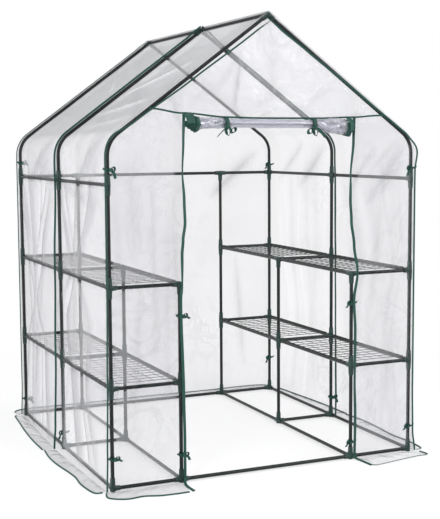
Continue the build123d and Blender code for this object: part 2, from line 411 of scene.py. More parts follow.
def near_tube(point):
    """How nearly the film at a point lies on a tube, from 0 to 1."""
    if abs(point.y) > row_y:
        gaps = [1.8 * abs(abs(point.x) - post_x - 0.003), abs(abs(point.x) - aisle_post_x)]
        gaps.append(abs(point.z - outline_height(point.x) + 0.024))
        if point.y < 0 and abs(point.x) > aisle_post_x:
            gaps += [1.8 * abs(point.z - z - 0.003) for z in rail_heights[:3]]
    else:
        gaps = [0.35 * abs(point.y - y + 0.045) for y in rows[1:]]
        gaps += [1.8 * abs(point.z - z - 0.010 * (1.4 - z)) for z in rail_heights]
    return eased([(0.016, 1.0), (0.030, 0.0)], min(gaps))


def film_panel(name, grid, material, nodes, place, touches=True, turned=False):
    """A panel of film. `place` gives each point, and how deep it lies in a fold, or the roll's painted shade.

    The mesh keeps that depth, as the mask of painted fold shade and highlight, and, where the panel `touches`
    the frame, how nearly it lies on a tube, as the mask of painted tube shade."""
    mesh, depths = bmesh.new(), []

    def put(across, up):
        point, depth = place(across, up)
        depths.append(depth)
        return point

    add_sheet(mesh, *grid, put)
    if touches:
        # How nearly each point lies on a tube: the mask of painted tube shade.
        tube_shade = mesh.verts.layers.float.new("tube_shade")
        for point in mesh.verts:
            point[tube_shade] = near_tube(point.co)
    # How deep each point is folded: the mask of painted fold shade and, in the hollows, painted highlight.
    fold_shading = mesh.verts.layers.float.new("fold_shading")
    for point, depth in zip(mesh.verts, depths):
        point[fold_shading] = min(max(depth / full_fold, hollow_fold), 1.0)
    if turned:
        bmesh.ops.reverse_faces(mesh, faces=mesh.faces[:])
    return finished(name, mesh, material, nodes, film_sharp_angle)


def add_rod(mesh, start, end, radius, facets, end_radius=None):
    """A round rod or tapered sleeve between two points."""
    way = end - start
    turn = way.to_track_quat("Z", "Y").to_matrix().to_4x4()
    bmesh.ops.create_cone(mesh, cap_ends=True, segments=facets, radius1=radius, radius2=end_radius or radius,
                          depth=way.length, matrix=Matrix.Translation((start + end) / 2) @ turn)


def bars(node):
    """The two ends of each straight bar in a node, read from the frame."""
    mesh = bmesh.new()
    mesh.from_mesh(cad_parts[node].data)
    bmesh.ops.remove_doubles(mesh, verts=mesh.verts, dist=1e-5)
    mesh.verts.ensure_lookup_table()
    seen = set()
    ends = []
    for first in mesh.verts:
        if first in seen:
            continue
        seen.add(first)
        island, edge = [first], [first]
        while edge:
            for link in edge.pop().link_edges:
                for vert in link.verts:
                    if vert not in seen:
                        seen.add(vert)
                        island.append(vert)
                        edge.append(vert)
        low = Vector([min(v.co[i] for v in island) for i in range(3)])
        high = Vector([max(v.co[i] for v in island) for i in range(3)])
        axis = max(range(3), key=lambda i: high[i] - low[i])
        start, end = (low + high) / 2, (low + high) / 2
        start[axis], end[axis] = low[axis], high[axis]
        ends.append((start, end))
    mesh.free()
    return ends


def extruded(mesh, faces, keep=False):
    """Extrudes faces and gives the new points and faces. The old faces go, unless they are kept as a cap."""
    made = bmesh.ops.extrude_face_region(mesh, geom=faces)["geom"]
    if not keep:
        bmesh.ops.delete(mesh, geom=faces, context="FACES_ONLY")
    return ([part for part in made if isinstance(part, bmesh.types.BMVert)],
            [part for part in made if isinstance(part, bmesh.types.BMFace)])


def add_rafter(mesh, side, y):
    """A bent rafter: up from its post, round the eave, and up the slope to the ridge. Gives its two ends."""
    foot = Vector((side * post_x, y, side_bar_z + riser_reach))
    circle = bmesh.ops.create_circle(mesh, cap_ends=True, segments=tube_sides, radius=tube_radius,
                                     matrix=Matrix.Translation(foot))
    verts, faces = extruded(mesh, list(circle["verts"][0].link_faces), keep=True)
    bmesh.ops.translate(mesh, vec=(0, 0, wall_top - foot.z), verts=verts)
    turn = Matrix.Rotation(-side * eave_turn / eave_bend_steps, 3, "Y")
    centre = Vector((side * bend_middle[0], y, wall_top))
    for _ in range(eave_bend_steps):
        verts, faces = extruded(mesh, faces)
        bmesh.ops.rotate(mesh, cent=centre, matrix=turn, verts=verts)
    top = Vector((side * arm_reach * cos(roof_angle), y, ridge_z - arm_reach * sin(roof_angle)))
    verts, faces = extruded(mesh, faces)
    now = sum((vert.co for vert in verts), Vector()) / len(verts)
    bmesh.ops.translate(mesh, vec=top - now, verts=verts)
    return foot, top


def rounded(place):
    """A place or a direction, rounded so that equal ones match."""
    return tuple(round(value, 3) for value in place)


def sleeve_reach(way):
    """How far a connector's sleeve reaches this way. Upright ones are longer."""
    return riser_reach if abs(way.z) > 0.9 else arm_reach


hubs = {}


def note_hub(end, away):
    """Notes the sleeve that holds a tube's end. `away` points from the hub along the tube."""
    hubs.setdefault(rounded(end - away * sleeve_reach(away)), []).append(away)


straight_nodes = ["base_side_rails", "base_cross_rails", "side_top_rails", "back_top_rail", "ridge_pole"]
for name in sides:
    straight_nodes += [f"{name}_outer_posts", f"{name}_inner_posts",
                       f"lower_{name}_shelf_rails", f"upper_{name}_shelf_rails"]
for node in straight_nodes:
    mesh = bmesh.new()
    for start, end in bars(node):
        add_rod(mesh, start, end, tube_radius, tube_sides)
        way = (end - start).normalized()
        note_hub(start, way)
        note_hub(end, -way)
    finished(f"{node}_tube", mesh, tube_coat, [node])
for arch, y in zip(("front_arch", "middle_arch", "rear_arch"), rows):
    mesh = bmesh.new()
    for side in sides.values():
        foot, top = add_rafter(mesh, side, y)
        note_hub(foot, Vector((0, 0, 1)))
        note_hub(top, Vector((side * cos(roof_angle), 0, -sin(roof_angle))))
    bmesh.ops.recalc_face_normals(mesh, faces=mesh.faces[:])
    finished(f"{arch}_tube", mesh, tube_coat, [arch])


def add_web(mesh, first, second):
    """The web that fills the corner between two sleeves, hollowed by an arc."""
    radius = under_web_radius if min(first.z, second.z) < -0.3 else over_web_radius
    arc = [Vector((web_root + radius * (1 - cos(angle)), web_root + radius * (1 - sin(angle))))
           for angle in [radians(step) for step in range(0, 91, 15)]]
    edge = [Vector((0, 0)), Vector((web_root + radius, 0)), *reversed(arc), Vector((0, web_root + radius))]
    across = first.cross(second).normalized() * web_thickness / 2
    face = mesh.faces.new([mesh.verts.new(first * spot.x + second * spot.y - across) for spot in edge])
    verts, _ = extruded(mesh, [face], keep=True)
    bmesh.ops.translate(mesh, vec=2 * across, verts=verts)


def moulding(ways, foot):
    """One connector about the origin: tapered sleeves, webs between them and a rounded hub, fused."""
    mesh = bmesh.new()
    for way in ways:
        add_rod(mesh, Vector(), way * sleeve_reach(way), hub_radius, sleeve_sides, mouth_radius)
    if foot:
        add_rod(mesh, Vector((0, 0, -base_z)), Vector(), foot_radius, sleeve_sides, hub_radius)
    for i, first in enumerate(ways):
        for second in ways[i + 1:]:
            if abs(first.dot(second)) < 0.2:
                add_web(mesh, first, second)
    bmesh.ops.recalc_face_normals(mesh, faces=mesh.faces[:])
    parts = placed("parts", mesh_data("parts", mesh))
    ball_mesh = bmesh.new()
    bmesh.ops.create_uvsphere(ball_mesh, u_segments=sleeve_sides, v_segments=sleeve_sides // 2, radius=ball_radius)
    ball = placed("ball", mesh_data("ball", ball_mesh))
    fuse = parts.modifiers.new("fuse", "BOOLEAN")
    fuse.operation = "UNION"
    fuse.solver = "EXACT"
    fuse.use_self = True
    fuse.object = ball
    graph = bpy.context.evaluated_depsgraph_get()
    fused = bpy.data.meshes.new_from_object(parts.evaluated_get(graph))
    for part in (parts, ball):
        bpy.data.objects.remove(part)
    clean = bmesh.new()
    clean.from_mesh(fused)
    bmesh.ops.remove_doubles(clean, verts=clean.verts, dist=fusing_gap)
    bmesh.ops.dissolve_degenerate(clean, dist=fusing_gap, edges=clean.edges[:])
    clean.to_mesh(fused)
    clean.free()
    return fused


mouldings = {}
connector_nodes = ("base_connectors", "lower_shelf_connectors", "upper_shelf_connectors",
                   "top_rail_connectors", "ridge_connectors")
for node in connector_nodes:
    low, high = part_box(node)
    mesh = bmesh.new()
    for place, ways in sorted(hubs.items()):
        if not low.z < place[2] < high.z:
            continue
        foot = node == "base_connectors"
        ways = sorted(ways, key=rounded)
        kind = (foot, *map(rounded, ways))
        if kind not in mouldings:
            mouldings[kind] = moulding(ways, foot)
        count = len(mesh.verts)
        mesh.from_mesh(mouldings[kind])
        mesh.verts.ensure_lookup_table()
        bmesh.ops.translate(mesh, vec=place, verts=mesh.verts[count:])
    finished(f"{node}_moulded", mesh, connector_plastic, [node])


def wire_shelf(node):
    """A shelf of welded wire: rungs across, a thicker wire at each side and fine wires under the rungs."""
    low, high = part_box(node)
    mesh = bmesh.new()
    top = high.z - wire_radius
    for rung in range(rung_count):
        y = low.y + wire_radius + (high.y - low.y - 2 * wire_radius) * rung / (rung_count - 1)
        add_rod(mesh, Vector((low.x, y, top)), Vector((high.x, y, top)), wire_radius, wire_sides)
    for x in (low.x + wire_radius, high.x - wire_radius):
        add_rod(mesh, Vector((x, low.y, top)), Vector((x, high.y, top)), wire_radius, wire_sides)
    for wire in range(1, fine_wire_count + 1):
        x = low.x + (high.x - low.x) * wire / (fine_wire_count + 1)
        z = top - wire_radius - fine_wire_drop
        add_rod(mesh, Vector((x, low.y, z)), Vector((x, high.y, z)), fine_wire_radius, wire_sides)
    finished(f"{node}_mesh", mesh, wire_coat, [node])


for level in ("lower", "upper"):
    for name in sides:
        for bay in ("front", "rear"):
            wire_shelf(f"{level}_{name}_{bay}_wire_shelf")


# The cover's outline in the front view, from the ground up one side to the ridge
def outline(along, outward):
    """A point of the outline, at a length along it from the ground and this far outwards."""
    if along <= wall_top:
        return Vector((cover_x + outward, along))
    angle = min((along - wall_top) / film_bend_radius, eave_turn)
    point = Vector(bend_middle) + Vector((cos(angle), sin(angle))) * (film_bend_radius + outward)
    return point + Vector((-sin(eave_turn), cos(eave_turn))) * max(along - wall_top - bend_length, 0.0)


def outline_height(x):
    """How high the cover is at this distance from the middle, on the front or the back."""
    x = abs(x)
    if x >= slope_foot[0]:
        return bend_middle[1] + sqrt(max(film_bend_radius ** 2 - (x - bend_middle[0]) ** 2, 0.0))
    return slope_foot[1] + (slope_foot[0] - x) * tan(roof_angle)


def free(share, steepness):
    """How free a panel is to move, at a share of its width or height: 0 at its edges, 1 over most of it."""
    return min(1.0, steepness * share * (1 - share))


class Creases:
    """Creases of a panel: each a sharp fold from one point to another, with its depth and width."""

    def __init__(self, *lines):
        self.lines = [(Vector(start), Vector(end), depth, width) for start, end, depth, width in lines]

    def height(self, point):
        total = 0.0
        for start, end, depth, width in self.lines:
            way = end - start
            share = (point - start).dot(way) / way.length_squared
            if 0 < share < 1:
                off = abs((point - start).cross(way)) / way.length
                total += depth * sin(pi * share) ** 0.7 * exp(-off / width)
        return total


class Folds:
    """Long folds that hang down a bay. They gather and spread as `gathers` says: (height, middle, spread)."""

    def __init__(self, seed, count, depth, gathers):
        draw = random.Random(seed)
        self.lines = [((i + draw.uniform(0.1, 0.9)) / count - 0.5,
                       depth * draw.choice((-0.6, 1.0, 1.0)) * draw.uniform(0.5, 1.0),
                       draw.uniform(0.016, 0.052), draw.uniform(-0.05, 0.05)) for i in range(count)]
        self.middles = [(height, centre) for height, centre, _ in gathers]
        self.spreads = [(height, spread) for height, _, spread in gathers]

    def height(self, share, up, bay_width):
        centre, spread = eased(self.middles, up), eased(self.spreads, up)
        fade = eased([(0.0, 0.0), (0.12, 1.0), (1.15, 1.0), (1.32, 0.25), (1.5, 0.0)], up)
        total = 0.0
        for place, depth, width, sway in self.lines:
            line = centre + place * spread + sway * sin(5 * up + 40 * place)
            narrow = width * (0.35 + 0.65 * spread)
            total += depth * exp(-((share - line) * bay_width / narrow) ** 2)
        return total * fade


class Bay:
    """The film between two arches."""

    def __init__(self, start, end, folds, creases, sag):
        self.start, self.end, self.folds, self.creases, self.sag = start, end, folds, creases, sag

    def height(self, y, along):
        share = (y - self.start) / (self.end - self.start)
        held = free(share, 5) if 0 < share < 1 else 0.0
        raised = self.folds.height(share, along, self.end - self.start)
        raised += self.creases.height(Vector((y, along)))
        slack = self.sag * eased([(1.5, 0.0), (1.8, 1.0), (2.1, 1.0), (outline_length, 0.0)], along)
        return held * (raised - slack)


# How far each seam stands off its post, by height. Over the roof it lies snug, up to the ridge
snug = -0.0035
snug_roof = [(2.20, snug), (2.26, 0.0)]
seam_stand = {
    ("left", 0): [(0.0, 0.014), (0.15, 0.010), (0.45, 0.005), (0.8, 0.001), (1.25, 0.0)],
    ("left", 1): [(0.0, 0.030), (0.12, 0.022), (0.45, 0.014), (0.85, 0.009), (1.2, 0.0), (1.30, 0.0), (1.45, snug),
                  *snug_roof],
    ("left", 2): [(0.0, 0.006), (0.15, 0.001), (1.3, 0.0), (1.45, snug), *snug_roof],
    ("right", 0): [(0.0, 0.012), (0.10, 0.0), (0.3, snug), (1.20, snug), (1.28, -0.003), (1.36, 0.008),
                   (1.44, -0.002), (1.50, snug), *snug_roof],
    ("right", 1): [(0.0, 0.012), (0.5, 0.009), (1.2, 0.003), (1.35, 0.0), (1.50, snug), *snug_roof],
    ("right", 2): [(0.0, 0.010), (0.9, 0.004), (1.3, 0.0), (1.45, snug), *snug_roof],
}


def stand_off(name, y, along):
    """How far the film stands off at this place, between the seams before and behind it."""
    place = (y + row_y) / row_y
    first = min(max(int(place), 0), 1)
    share = min(max(place - first, 0.0), 1.0)
    before, behind = (eased(seam_stand[name, first + i], along) for i in (0, 1))
    return before + (behind - before) * share


# How far the front seams lie below the edge of the roof, up the slope
front_seam_drop = {
    "left": [(1.42, 0.002), (1.55, 0.019), (1.86, 0.030), (2.15, 0.037)],
    "right": [(1.36, 0.0), (1.45, 0.012), (1.80, 0.018), (2.05, 0.026), (2.25, 0.032)],
}


def side_cover(name, bays):
    """One side of the cover: a sheet from the ground up the wall, round the eave and up to the ridge."""
    def place(across, up):
        y, along = (across - 0.5) * 2 * cover_y, up * outline_length
        depth = bays[0 if y < 0 else 1].height(y, along)
        outward = stand_off(name, y, along) + depth
        point = outline(along, max(outward, closest_film) if along < wall_top else outward)
        return Vector((sides[name] * point.x, y, point.y)), depth

    cover = film_panel(f"{name}_side_cover", wall_grid, side_film, [f"{name}_wall_film", f"{name}_roof_film"], place)


left_front = Bay(
    -row_y, 0.0,
    Folds(5, 8, 0.0090, [(0.0, 0.5, 0.9), (0.42, 0.6, 0.55), (0.64, 0.62, 0.7), (0.86, 0.58, 0.16), (1.24, 0.5, 0.95)]),
    Creases(((-0.70, 1.46), (-0.36, 1.23), 0.016, 0.030), ((-0.69, 1.40), (-0.52, 1.22), 0.010, 0.014),
            ((-0.03, 1.42), (-0.12, 1.24), 0.008, 0.014), ((-0.10, 1.50), (-0.66, 1.58), 0.005, 0.012),
            ((-0.06, 1.60), (-0.62, 1.72), 0.006, 0.016), ((-0.10, 1.78), (-0.50, 1.98), 0.005, 0.014),
            ((-0.05, 1.25), (-0.30, 0.80), 0.010, 0.013), ((-0.57, 1.24), (-0.33, 0.82), 0.010, 0.014),
            ((-0.16, 1.23), (-0.29, 0.90), 0.007, 0.010), ((-0.46, 1.22), (-0.31, 0.88), 0.007, 0.010),
            ((-0.12, 0.88), (-0.06, 0.45), 0.007, 0.012), ((-0.40, 0.86), (-0.36, 0.42), 0.007, 0.012)),
    sag=0.008)
left_rear = Bay(
    0.0, row_y,
    Folds(11, 7, 0.0090, [(0.0, 0.5, 0.8), (0.42, 0.5, 0.6), (0.66, 0.52, 0.14), (0.87, 0.5, 0.5), (1.24, 0.5, 0.95)]),
    Creases(((0.03, 1.44), (0.44, 1.22), 0.014, 0.026), ((0.04, 1.38), (0.30, 1.22), 0.009, 0.014),
            ((0.66, 1.20), (0.48, 0.98), 0.012, 0.014), ((0.60, 1.10), (0.46, 0.94), 0.010, 0.012),
            ((0.08, 1.56), (0.60, 1.64), 0.005, 0.014), ((0.10, 1.74), (0.62, 2.04), 0.005, 0.016),
            ((0.13, 1.24), (0.36, 0.86), 0.010, 0.013), ((0.60, 1.24), (0.44, 0.92), 0.008, 0.013),
            ((0.50, 0.84), (0.42, 0.44), 0.007, 0.012), ((0.22, 0.84), (0.30, 0.50), 0.006, 0.012)),
    sag=0.008)
right_front = Bay(
    -row_y, 0.0,
    Folds(23, 7, 0.0020, [(0.0, 0.5, 0.9), (0.5, 0.5, 0.7), (0.9, 0.4, 0.8), (1.24, 0.5, 0.9)]),
    Creases(((-0.66, 1.42), (-0.30, 1.10), 0.009, 0.030), ((-0.40, 1.40), (-0.12, 1.15), 0.006, 0.018),
            ((-0.60, 1.62), (-0.10, 1.52), 0.005, 0.014), ((-0.55, 1.9), (-0.15, 1.7), 0.005, 0.016)),
    sag=0.006)
right_rear = Bay(
    0.0, row_y,
    Folds(31, 7, 0.0020, [(0.0, 0.5, 0.9), (0.5, 0.45, 0.6), (0.9, 0.5, 0.8), (1.24, 0.5, 0.9)]),
    Creases(((0.05, 1.42), (0.40, 1.16), 0.008, 0.024), ((0.30, 1.42), (0.62, 1.2), 0.006, 0.016),
            ((0.12, 1.7), (0.6, 1.6), 0.005, 0.014)),
    sag=0.006)
side_cover("left", (left_front, left_rear))
side_cover("right", (right_front, right_rear))

# The header seam across the front sags between its ends, and the door edges sway
header_stops = [(-0.530, 1.545), (-0.391, 1.527), (-0.188, 1.511), (-0.042, 1.508), (0.218, 1.508),
                (0.400, 1.513), (0.530, 1.521)]
door_edges = {
    "left": [(0.0, -0.396), (0.180, -0.396), (0.350, -0.399), (0.768, -0.408), (0.837, -0.403), (0.952, -0.401),
             (1.013, -0.396), (1.082, -0.387), (1.176, -0.390), (1.286, -0.398), (1.418, -0.392), (1.52, -0.387)],
    "right": [(0.0, 0.416), (0.177, 0.419), (0.358, 0.412), (0.582, 0.416), (0.716, 0.410), (0.839, 0.424),
              (0.959, 0.408), (1.068, 0.393), (1.156, 0.387), (1.264, 0.386), (1.415, 0.400), (1.51, 0.405)],
}
header_left_x, header_right_x = -0.534, 0.558


def front_top(x):
    """How high the front panels are at this distance from the middle: to the rafter or the header."""
    return min(outline_height(x), eased(header_stops, x))


def front_panel(name, creases):
    """The film beside the doorway, from the corner to the door's edge and up to the header or the rafter."""
    side, edge = sides[name], door_edges[name]

    def place(across, up):
        z = front_top(side * cover_x + (eased(edge, 0.0) - side * cover_x) * across) * up
        corner = side * (cover_x + eased(seam_stand[name, 0], min(z, 1.3)))
        x = corner + (eased(edge, z) - corner) * across
        depth = free(across, 6) * free(up, 6) * creases.height(Vector((x, z)))
        return Vector((x, front_y - depth, front_top(x) * up)), depth

    panel = film_panel(f"front_{name}_panel", front_grid, cover_film, [f"front_{name}_film"], place)


front_panel("left", Creases(
    ((-0.525, 1.30), (-0.520, 0.50), 0.004, 0.008), ((-0.62, 1.35), (-0.60, 0.9), 0.004, 0.020),
    ((-0.46, 1.15), (-0.47, 0.30), 0.003, 0.014), ((-0.58, 0.9), (-0.62, 0.2), 0.004, 0.016)))
front_panel("right", Creases(
    ((0.70, 1.36), (0.54, 1.18), 0.005, 0.016), ((0.64, 1.42), (0.47, 1.26), 0.004, 0.012),
    ((0.55, 1.20), (0.50, 0.70), 0.003, 0.014), ((0.60, 0.6), (0.56, 0.15), 0.003, 0.012)))


def gable_panel():
    """The film of the gable, from the header seam up to the rafters."""
    creases = Creases(
        ((-0.168, 1.515), (-0.130, 1.76), 0.010, 0.007), ((-0.26, 1.60), (-0.12, 1.78), 0.004, 0.012),
        ((-0.10, 1.53), (0.06, 1.64), 0.003, 0.014), ((-0.36, 1.56), (-0.24, 1.66), 0.003, 0.012),
        ((0.02, 1.58), (0.02, 1.88), 0.003, 0.016), ((0.16, 1.55), (0.30, 1.66), 0.003, 0.014))

    def place(across, up):
        x = header_left_x + (header_right_x - header_left_x) * across
        low = eased(header_stops, x)
        z = low + (max(outline_height(x), low + 0.0005) - low) * up
        depth = free(up, 8) * creases.height(Vector((x, z)))
        return Vector((x, front_y - depth, z)), depth

    gable = film_panel("front_gable_panel", gable_grid, cover_film, ["front_gable_film"], place)


def back_panel():
    """The film of the back, one sheet from the ground to the rear rafters."""
    creases = Creases(
        ((-0.68, 1.36), (-0.30, 1.05), 0.008, 0.024), ((0.66, 1.38), (0.34, 1.10), 0.008, 0.024),
        ((-0.20, 1.20), (-0.16, 0.35), 0.004, 0.014), ((0.12, 1.15), (0.16, 0.30), 0.004, 0.016),
        ((-0.52, 0.9), (-0.48, 0.15), 0.005, 0.014), ((0.50, 0.8), (0.55, 0.15), 0.005, 0.014),
        ((-0.04, 1.88), (-0.10, 1.45), 0.005, 0.014), ((0.06, 1.80), (0.22, 1.42), 0.004, 0.016))

    def place(across, up):
        x = (across - 0.5) * 2 * cover_x
        z = outline_height(x) * up
        depth = free(across, 10) * free(up, 10) * creases.height(Vector((x, z)))
        return Vector((x, cover_y + depth, z)), depth

    back = film_panel("back_panel", back_grid, cover_film, ["back_film"], place, turned=True)


gable_panel()
back_panel()


# Ribbon over the seams of the three arches
def arch_ribbon(mesh, name, index):
    """The ribbon up one side of an arch: a narrow fin that stands off the cover along its seam."""
    side, facing, front = sides[name], (-1, 0, 1)[index], index == 0
    draw = random.Random(40 + index + side)
    sway = [(0.12 * i, draw.uniform(-0.35, 0.35)) for i in range(21)]

    def place(across, up):
        along = ribbon_foot + up * (outline_length - ribbon_foot)
        lift = across * seam_ribbon
        outward = eased(seam_stand[name, index], along) + 0.0006
        if not facing:
            point = outline(along, outward + lift)
            return Vector((side * point.x, rows[index] + eased(sway, along) * lift, point.y))
        upright = 0.8 if front else 0.3
        upright *= eased([(outline_length - 0.10, 1.0), (outline_length, 0.1)], along)
        drop = eased(front_seam_drop[name], along) if front else 0.0
        point = outline(along, outward + lift * upright - drop)
        ahead = (0.3 if front else 0.7) + 0.2 * eased([(1.40, 0.0), (1.55, 1.0)], along)
        return Vector((side * point.x, facing * (cover_y + 0.0008 + lift * ahead), point.y))

    add_sheet(mesh, 2, 150, place)


mesh = bmesh.new()
for name in sides:
    for index in range(3):
        arch_ribbon(mesh, name, index)
finished_ribbon("arch_ribbons", mesh, ["arch_bindings"])


def header_ribbon():
    """The ribbon along the header seam, between the two front rafters."""
    def place(across, up):
        x = header_left_x + (header_right_x - header_left_x) * up
        z = eased(header_stops, x) + (across - 0.5) * header_ribbon_width
        return Vector((x, front_y - 0.0012 - 0.002 * across, z))

    mesh = bmesh.new()
    add_sheet(mesh, 2, 90, place)
    finished_ribbon("header_ribbon", mesh, ["header_binding"])


header_ribbon()

# Twist of each door edge ribbon, by height: 0 shows its face, 1 its edge
edge_twists = {
    "left": [(0.0, 0.1), (0.35, 0.3), (0.77, 0.2), (0.84, 0.9), (0.95, 0.35), (1.18, 0.5), (1.29, 0.95),
             (1.42, 0.7), (1.52, 0.2)],
    "right": [(0.0, 0.3), (0.18, 0.2), (0.36, 0.8), (0.58, 0.3), (0.72, 0.2), (0.84, 0.8), (0.96, 0.3),
              (1.16, 0.5), (1.26, 1.0), (1.42, 0.6), (1.51, 0.2)],
}


def door_edge_ribbon(mesh, name):
    """The ribbon down one edge of the doorway, which twists as it hangs."""
    top = eased(header_stops, sides[name] * aisle_post_x)

    def place(across, up):
        z = ribbon_foot + up * (top - ribbon_foot)
        turn = eased(edge_twists[name], z) * pi / 2
        reach = (across - 0.5) * door_ribbon
        return Vector((eased(door_edges[name], z) + reach * cos(turn),
                       front_y - 0.003 - 0.5 * door_ribbon * sin(turn) - reach * sin(turn), z))

    add_sheet(mesh, 2, 120, place)


def add_ribbon(mesh, points, width, across, steps):
    """A ribbon along the smooth line through these points. `across` points over its width at each of them."""
    def place(side, up):
        way = through(across, up).normalized()
        return through(points, up) + way * (side - 0.5) * width

    add_sheet(mesh, 2, steps, place)


# The edge ribbons run out over the skirt to its hem
door_edge_ends = {
    "left": [(-0.396, front_y - 0.004, 0.020), (-0.402, front_y - 0.016, 0.008), (-0.412, -0.780, 0.005),
             (-0.408, -0.851, 0.003)],
    "right": [(0.416, front_y - 0.004, 0.020), (0.420, front_y - 0.014, 0.008), (0.428, -0.770, 0.005),
              (0.436, -0.838, 0.003)],
}
mesh = bmesh.new()
for name in sides:
    door_edge_ribbon(mesh, name)
for line in door_edge_ends.values():
    add_ribbon(mesh, line, door_ribbon, [(1, 0, 0.1), (1, -0.1, 0.25), (1, -0.1, 0.3), (1, 0.2, 0.3)], 24)
finished_ribbon("door_edge_ribbons", mesh, ["door_edge_bindings"])

# The rolled door
roll_low, roll_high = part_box("rolled_door")
roll_y, roll_z = (roll_low.y + roll_high.y) / 2, (roll_low.z + roll_high.z) / 2
roll_half_length = (roll_high.x - roll_low.x) / 2
roll_radius = (roll_high.z - roll_low.z) / 2
roll_core, roll_turns, roll_turn_steps = 0.006, 14, 24
tie_x = 0.203
roll_girth = [(-0.384, 0.94), (-0.335, 0.90), (-0.305, 0.66), (-0.235, 0.60), (-0.203, 0.50), (-0.16, 0.54),
              (0.0, 0.56), (0.16, 0.54), (0.203, 0.50), (0.24, 0.70), (0.29, 0.92), (0.384, 0.98)]
roll_raised = [(-0.384, 0.017), (-0.203, 0.020), (0.0, 0.018), (0.203, 0.017), (0.30, 0.007), (0.384, 0.004)]


def roll_slack(x, angle):
    """How far the roll swells at a place, as a share of its radius. Loose past its ties, creased between them."""
    slack = eased([(-tie_x, 1.0), (-0.17, 0.15), (0.17, 0.15), (tie_x, 1.0)], x)
    crumple = 0.09 * sin(3 * angle + 34 * x) + 0.08 * sin(5 * angle - 61 * x + 1.0)
    crumple += 0.05 * sin(7 * angle + 130 * x) + 0.03 * sin(4 * angle + 210 * x)
    hollow = exp(-((angle % (2 * pi) - 6.0) / 0.22) ** 2) + 0.5 * exp(-((angle % (2 * pi) - 0.75) / 0.2) ** 2)
    return crumple * slack - 0.16 * hollow * (1 - slack)


def roll_point(x, turn, lift=0.0):
    """A point of the rolled film, by its distance from the middle and the number of turns from its core."""
    radius = roll_core + (roll_radius - roll_core) * turn / roll_turns
    angle = 2 * pi * turn + pi / 2
    shape = eased(roll_girth, x) * (0.94 + 0.02 * sin(2 * angle + 9 * x) + roll_slack(x, angle))
    reach = radius * shape + lift
    return Vector((x, roll_y - reach * cos(angle), roll_z + eased(roll_raised, x) + reach * sin(angle)))


def roll_end(side, turn):
    """How far from the middle a turn's edge is. Inner turns have slipped outwards, most at the left."""
    slipped = 0.050 if side < 0 else 0.006
    return roll_half_length + 0.002 - slipped * turn / roll_turns - 0.003 * sin(1.7 * turn)


def door_roll():
    """The door's film, rolled up and gathered at its two ties."""
    def place(across, up):
        turn = up * roll_turns
        left, right = -roll_end(-1, turn), roll_end(1, turn)
        x = left + (right - left) * across
        # The second value sets the roll's painted shade: dark along its hollow crease and where crumples sink past its
        # ties, with a painted highlight where they swell, most on the outer turns.
        return roll_point(x, turn), -0.05 * roll_slack(x, 2 * pi * turn + pi / 2) * (turn / roll_turns) ** 3

    grid = (120, roll_turns * roll_turn_steps)
    roll = film_panel("door_roll", grid, roll_film, ["rolled_door"], place, touches=False)


def roll_edge_ribbons():
    """The ribbon on both side edges of the rolled door, which shows as a green spiral at each end."""
    mesh = bmesh.new()
    start, turns = 0.3, roll_turns - 0.1
    for side, width in ((-1, 0.016), (1, 0.026)):
        def place(across, up):
            turn = start + up * (turns - start)
            return roll_point(side * (roll_end(side, turn) + 0.001 - across * width), turn, 0.0006)

        add_sheet(mesh, 2, roll_turns * roll_turn_steps, place)
    finished_ribbon("roll_edge_ribbons", mesh, thickness=rolled_ribbon_thickness)


door_roll()
roll_edge_ribbons()


